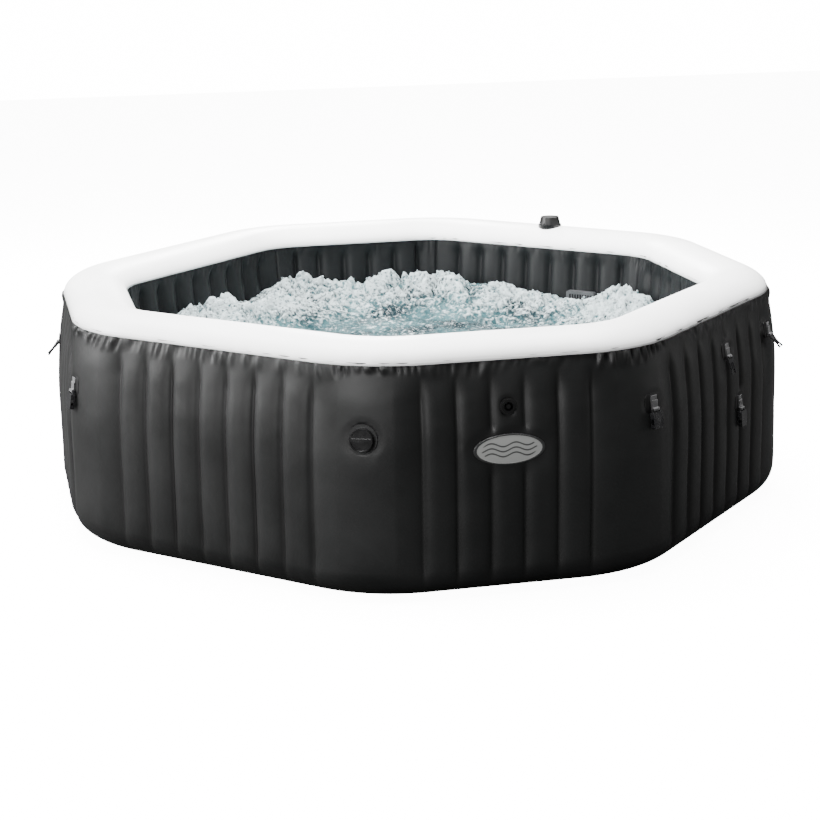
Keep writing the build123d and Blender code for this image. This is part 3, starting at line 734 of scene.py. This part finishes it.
def makeWebs():
    # the sheets between the walls, drawn in from the welds so the pulled seams clear them
    faces, points = [], []
    box = ((0, 1, 3, 2), (4, 6, 7, 5), (0, 4, 5, 1), (2, 3, 7, 6), (0, 2, 6, 4), (1, 5, 7, 3))
    low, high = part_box("tension_webs")
    for side in range(8):
        count = ribs["shortSeams"] if side % 2 == 0 else ribs["longSeams"]
        reach = tub["halfShort"] if side % 2 == 0 else tub["halfLong"]
        for i in range(count):
            along = (i - (count - 1) / 2) * ribs["pitch"]
            if abs(along) > halfFlat(side):
                continue
            turn = math.radians(side * 45)
            for z in (low[2] + webs["footGap"], high[2] - webs["topGap"]):
                for n in (reach - webs["outerGap"], reach - tub["innerSeamInset"] + webs["innerGap"]):
                    for t in (along - webs["thick"] / 2, along + webs["thick"] / 2):
                        x = n * math.cos(turn) - t * math.sin(turn)
                        y = n * math.sin(turn) + t * math.cos(turn)
                        points.append((x, y, z))
            first = len(points) - 8
            faces += [[first + corner for corner in quad] for quad in box]
    piece = addPiece("websInside", points, faces, smoothed=False)
    piece.data.materials.append(finishes["meshFabric"])
    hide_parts("tension_webs")
    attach(piece, "tub")


water = {
    "level": 0.448,
    "edgeInset": 0.231,
    "step": 0.0094,
    "rows": 130,
    "swell": 0.010,
    "chop": 0.010,
    "mounds": 0.046,
    "lumps": 0.028,
    "fine": 0.012,
    "bend": 0.035,                             # how far the mounds' outlines wander
    "floorGap": 0.042,
}


def waterHeight(x, y, t):
    # slow swell and chop, with cauliflower mounds over the ring of bubbles by the wall
    swell = water["swell"] * layered(x * 2.5, y * 2.5, 61, 2)
    chop = water["chop"] * layered(x * 9, y * 9, 62, 4)
    bendX = x + water["bend"] * noise2(x * 7, y * 7, 66)
    bendY = y + water["bend"] * noise2(x * 7, y * 7, 67)
    boil = smooth(0.42, 0.74, t) * (1 - 0.6 * smooth(0.90, 1.0, t))
    mounds = np.clip(0.50 + 0.70 * layered(bendX * 4.6, bendY * 4.6, 71, 2), 0.0, 1)
    lumps = np.minimum(np.abs(layered(bendX * 11, bendY * 11, 64, 4)) * 2.2, 1.2)
    fine = np.minimum(np.abs(layered(bendX * 30, bendY * 30, 68, 3)) * 2.2, 1.2)
    crest = boil * mounds
    height = water["level"] + swell + chop + water["mounds"] * crest
    height = height + water["lumps"] * (0.25 + crest) * lumps * (0.3 + 0.7 * boil)
    height = height + water["fine"] * (0.35 + boil) * fine
    foam = 0.36 * crest + 0.30 * lumps * (0.45 + 0.55 * boil) + 0.24 * fine * (0.4 + boil)
    foam = foam + 0.16 * layered(x * 4, y * 4, 65, 3)
    return height, foam


def makeWaterBody():
    loop = planLoop(water["step"])
    reach = tub["cornerRadius"] - water["edgeInset"]
    edge = loop[0] + reach * loop[1]
    t = np.linspace(0.0, 1.0, water["rows"]) ** 0.8
    xy = t[:, None, None] * edge[None]
    height, foam = waterHeight(xy[..., 0], xy[..., 1], t[:, None] + 0 * xy[..., 0])
    top = np.concatenate([xy, height[..., None]], -1)
    under = xy[::-12]
    low = np.concatenate([under, np.full(under.shape[:2] + (1,), floorTop + water["floorGap"])], -1)
    points = np.concatenate([top, low])
    body = gridMesh("water", points, wrapU=True)
    weldPoles(body, ("foam", np.concatenate([foam, np.zeros(under.shape[:2])])))
    body.data.materials.append(finishes["water"])
    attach(body, "tub")


froth = {
    "blobs": 500,
    "seed": 7,
    "band": (0.55, 0.985),                     # share of the way from the middle to the wall
    "size": (0.002, 0.005),
    "stretch": (0.7, 1.3),
    "lift": 0.006,
    "foam": 0.75,
    "step": 0.02,
}


def makeFroth():
    # droplets and bubbles thrown up on the crests: small rough balls, joined in one mesh
    rng = np.random.default_rng(froth["seed"])
    loop = planLoop(froth["step"])
    edge = loop[0] + (tub["cornerRadius"] - water["edgeInset"]) * loop[1]
    pick = rng.integers(0, len(edge), froth["blobs"] * 4)
    t = rng.uniform(*froth["band"], len(pick))
    xy = edge[pick] * t[:, None]
    height, foam = waterHeight(xy[:, 0], xy[:, 1], t)
    keep = np.argsort(-(foam + rng.uniform(-0.1, 0.1, len(foam))))[:froth["blobs"]]
    golden = (1 + 5 ** 0.5) / 2
    corners = np.array([
        (-1, golden, 0), (1, golden, 0), (-1, -golden, 0), (1, -golden, 0),
        (0, -1, golden), (0, 1, golden), (0, -1, -golden), (0, 1, -golden),
        (golden, 0, -1), (golden, 0, 1), (-golden, 0, -1), (-golden, 0, 1),
    ])
    corners /= np.linalg.norm(corners[0])
    faces = np.array([
        (0, 11, 5), (0, 5, 1), (0, 1, 7), (0, 7, 10), (0, 10, 11),
        (1, 5, 9), (5, 11, 4), (11, 10, 2), (10, 7, 6), (7, 1, 8),
        (3, 9, 4), (3, 4, 2), (3, 2, 6), (3, 6, 8), (3, 8, 9),
        (4, 9, 5), (2, 4, 11), (6, 2, 10), (8, 6, 7), (9, 8, 1),
    ])
    size = rng.uniform(*froth["size"], len(keep))
    lift = rng.uniform(0.0, 1.0, len(keep)) ** 2 * froth["lift"]
    centre = np.concatenate([xy[keep], (height[keep] + lift)[:, None]], -1)
    stretch = rng.uniform(*froth["stretch"], (len(keep), len(corners), 3))
    points = centre[:, None] + corners[None] * size[:, None, None] * stretch
    allFaces = faces[None] + len(corners) * np.arange(len(keep))[:, None, None]
    piece = addPiece("froth", points.reshape(-1, 3).tolist(), allFaces.reshape(-1, 3).tolist())
    storeValue(piece, "foam", np.full(len(piece.data.vertices), froth["foam"]))
    piece.data.materials.append(finishes["water"])
    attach(piece, "tub")


# strap units: patch and sewn loop on the wall, each in its own frame on the wall's face

straps = {
    "left_buckle": (195.0, 0.0, 0.470), "front_right_buckle": (299.5, 0.0, 0.480),
    "right_buckle": (315.0, 0.118, 0.360), "back_buckle": (112.5, 0.0, 0.470),
    "left_clip": (180.0, -0.152, 0.512), "right_clip": (315.0, 0.042, 0.528),
    "right_corner_clip": (321.0, 0.0, 0.530), "back_clip": (135.0, 0.0, 0.512),
}
strapShape = {
    "width": 0.025,
    "thick": 0.0022,
    "eye": 0.0043,                             # radius of the loop round the bar
    "drop": 0.018,
    "out": 0.008,
    "layerOut": 0.0034,                        # the webbing's first layer from the wall
    "layerGap": 0.0026,
    "patchWide": 0.062,
    "patchHigh": 0.050,
    "patchPuff": 0.0012,
    "stitches": 46,
    "stitchDepth": 0.0008,
}


def wallFrame(heading, along, z):
    # middle point, level direction, up direction and outward normal on the plain wall
    side = int(math.floor(heading / 45 + 1e-9))
    onFlat = abs(heading - side * 45) < 1e-6
    base, theta = math.radians(side * 45), math.radians(heading)
    n, t = apothem(side) - tub["cornerRadius"], along if onFlat else halfFlat(side)
    radius = (tub["leanHeight"] ** 2 + tub["seamInset"] ** 2) / (2 * tub["seamInset"])
    above = max(0.0, z - (tub["outerSeamZ"] - tub["leanHeight"]))
    reach = tub["cornerRadius"] - radius + math.sqrt(radius ** 2 - above ** 2)
    tilt = math.asin(above / radius)
    origin = np.array([n * math.cos(base) - t * math.sin(base) + reach * math.cos(theta),
                       n * math.sin(base) + t * math.cos(base) + reach * math.sin(theta), z])
    level = np.array([-math.sin(theta), math.cos(theta), 0.0])
    out = np.array([math.cos(theta) * math.cos(tilt), math.sin(theta) * math.cos(tilt), math.sin(tilt)])
    return origin, level, np.cross(out, level), out, onFlat


def onWall(place, x, y, z):
    origin, level, up, out, onFlat = place
    bent = z if onFlat else z - x ** 2 / (2 * tub["cornerRadius"])
    return origin + x[..., None] * level + y[..., None] * up + bent[..., None] * out


def makePatch(name, place):
    # rounded square of reinforcing vinyl, puffed a little inside its sewn edge
    r = np.concatenate([np.linspace(0.0, 0.92, 24), [0.96, 0.985, 1.0, 1.0, 0.9, 0.5, 0.0]])[:, None]
    a = np.linspace(0, 2 * math.pi, 96, endpoint=False)[None]
    round4 = (np.abs(np.cos(a)) ** 6 + np.abs(np.sin(a)) ** 6) ** (-1 / 6)
    x, y = r * round4 * np.cos(a), r * round4 * np.sin(a)
    stitch = np.exp(-((r - 0.86) / 0.03) ** 2) * (0.5 + 0.5 * np.sin(strapShape["stitches"] * a))
    rows = np.arange(len(r))[:, None]
    face = 0.0016 + strapShape["patchPuff"] * (1 - r ** 6) - strapShape["stitchDepth"] * stitch
    z = np.where(rows < 27, face, -0.003)      # the rows from 27 on are the back
    points = onWall(place, x * strapShape["patchWide"] / 2, y * strapShape["patchHigh"] / 2, z + 0 * a)
    piece = weldPoles(gridMesh(name + "Patch", points, wrapU=True))
    piece.data.materials.append(finishes["mouldedVinyl"])
    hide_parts(name + "_patch")
    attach(piece, "tub")


def makeLoop(name, place):
    # webbing up from its fold, round the bar, and back under the stitches; the section is a flat oval
    size = strapShape
    low, lap = size["layerOut"], size["layerGap"]
    turn = np.linspace(math.radians(-80), math.radians(-395), 30)
    eyeY = -size["drop"] + size["eye"] * np.sin(turn + math.pi / 2)
    y = np.concatenate([np.linspace(0.020, -0.012, 16), eyeY, np.linspace(-0.010, 0.007, 12)])
    eyeZ = size["out"] - size["eye"] * np.cos(turn + math.pi / 2)
    z = np.concatenate([np.full(16, low), eyeZ, np.full(12, low + lap)])
    for _ in range(3):
        y[1:-1] = (y[:-2] + 2 * y[1:-1] + y[2:]) / 4
        z[1:-1] = (z[:-2] + 2 * z[1:-1] + z[2:]) / 4
    ahead = np.stack([np.gradient(y), np.gradient(z)], -1)
    ahead /= np.linalg.norm(ahead, axis=1, keepdims=True)
    a = np.linspace(0, 2 * math.pi, 32, endpoint=False)
    wide = size["width"] / 2 * np.sign(np.cos(a)) * np.abs(np.cos(a)) ** 0.35
    thick = size["thick"] / 2 * np.sign(np.sin(a)) * np.abs(np.sin(a)) ** 0.6
    swell = np.ones(len(y) + 4)
    swell[[0, -1]], swell[[1, -2]] = 0.0, 0.9
    keep = np.concatenate([[0, 0], np.arange(len(y)), [len(y) - 1] * 2])
    y, z, ahead = y[keep], z[keep], ahead[keep]
    x = swell[:, None] * wide[None]
    up = swell[:, None] * thick[None]
    points = onWall(place, x, y[:, None] - ahead[:, 1:] * up, z[:, None] + ahead[:, :1] * up)
    piece = weldPoles(gridMesh(name + "Loop", points, wrapU=True))
    piece.data.materials.append(finishes["webbing"])
    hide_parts(name + "_webbing")
    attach(piece, "tub")


badge = {
    "length": 0.195,
    "height": 0.082,
    "z": 0.400,
    "stand": 0.0021,
    "dome": 0.0016,
    "lip": 0.0009,
    "edge": 0.0012,
    "waves": 3,
    "waveHeight": 0.0050,
    "waveTurns": 95,
    "waveGap": 0.0135,
    "lineWidth": 0.0021,
    "rows": 100,
    "spokes": 420,
}


def makeBadge():
    # domed oval with a raised edge; the plain waves are marked by a value on its points
    place = wallFrame(270.0, 0.0, badge["z"])
    r = np.concatenate([np.linspace(0.0, 1.0, badge["rows"]), [1.0, 0.6, 0.0]])[:, None]
    a = np.linspace(0, 2 * math.pi, badge["spokes"], endpoint=False)[None]
    x, y = r * np.cos(a) * badge["length"] / 2, r * np.sin(a) * badge["height"] / 2
    lip = smooth(0.90, 0.93, r) * (1 - smooth(0.985, 1.0, r))
    front = (np.arange(len(r)) < badge["rows"])[:, None]
    face = badge["stand"] + badge["dome"] * (1 - r ** 2) + badge["lip"] * lip - badge["edge"] * smooth(0.985, 1.0, r)
    z = np.where(front, face, -0.0015)
    wave = y - badge["waveHeight"] * np.sin(x * badge["waveTurns"])
    middles = [(i - 1) * badge["waveGap"] for i in range(badge["waves"])]
    lines = sum(np.exp(-((wave - middle) / badge["lineWidth"]) ** 4) for middle in middles)
    mark = np.maximum(lines * smooth(0.80, 0.74, r), smooth(0.90, 0.92, r)) * front
    piece = weldPoles(gridMesh("badgeOval", onWall(place, x, y, z + 0 * a), wrapU=True), ("mark", mark))
    piece.data.materials.append(finishes["badgeFace"])
    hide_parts("badge_plate")
    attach(piece, "tub")


# which finish each carried-over piece takes

slotFinish = {
    "black_vinyl": "blackVinyl",
    "inner_vinyl": "innerVinyl",
    "white_vinyl": "whiteVinyl",
    "floor_vinyl": "floorVinyl",
    "web_mesh": "meshFabric",
    "fitting_plastic": "mouldedPlastic",
    "knob_plastic": "knobPlastic",
    "grille_plastic": "greyPlastic",
    "buckle_plastic": "bucklePlastic",
    "badge_plastic": "badgePlastic",
    "webbing": "webbing",
    "seal_rubber": "sealRubber",
    "spring_steel": "springSteel",
}


def paintCarriedPieces():
    slots = {part["node"]: part["material_slot"] for part in frame["record"]["subparts"]}
    for name, slot in slots.items():
        piece = bpy.data.objects.get(name)
        if piece is None:
            continue
        finish = finishes[slotFinish[slot]]
        if not piece.material_slots:
            piece.data.materials.append(finish)
        for place in piece.material_slots:
            place.material = finish


makeCamera()
makeStudio()
print("camera and studio ready")
makeOuterWall()
makeRim()
makeInnerWall()
makeWebs()
print("inflated skins ready")
makeWaterBody()
makeFroth()
print("water ready")
for unit, spot in straps.items():
    makePatch(unit, wallFrame(*spot))
    makeLoop(unit, wallFrame(*spot))
makeBadge()
print("straps and badge ready")
paintCarriedPieces()
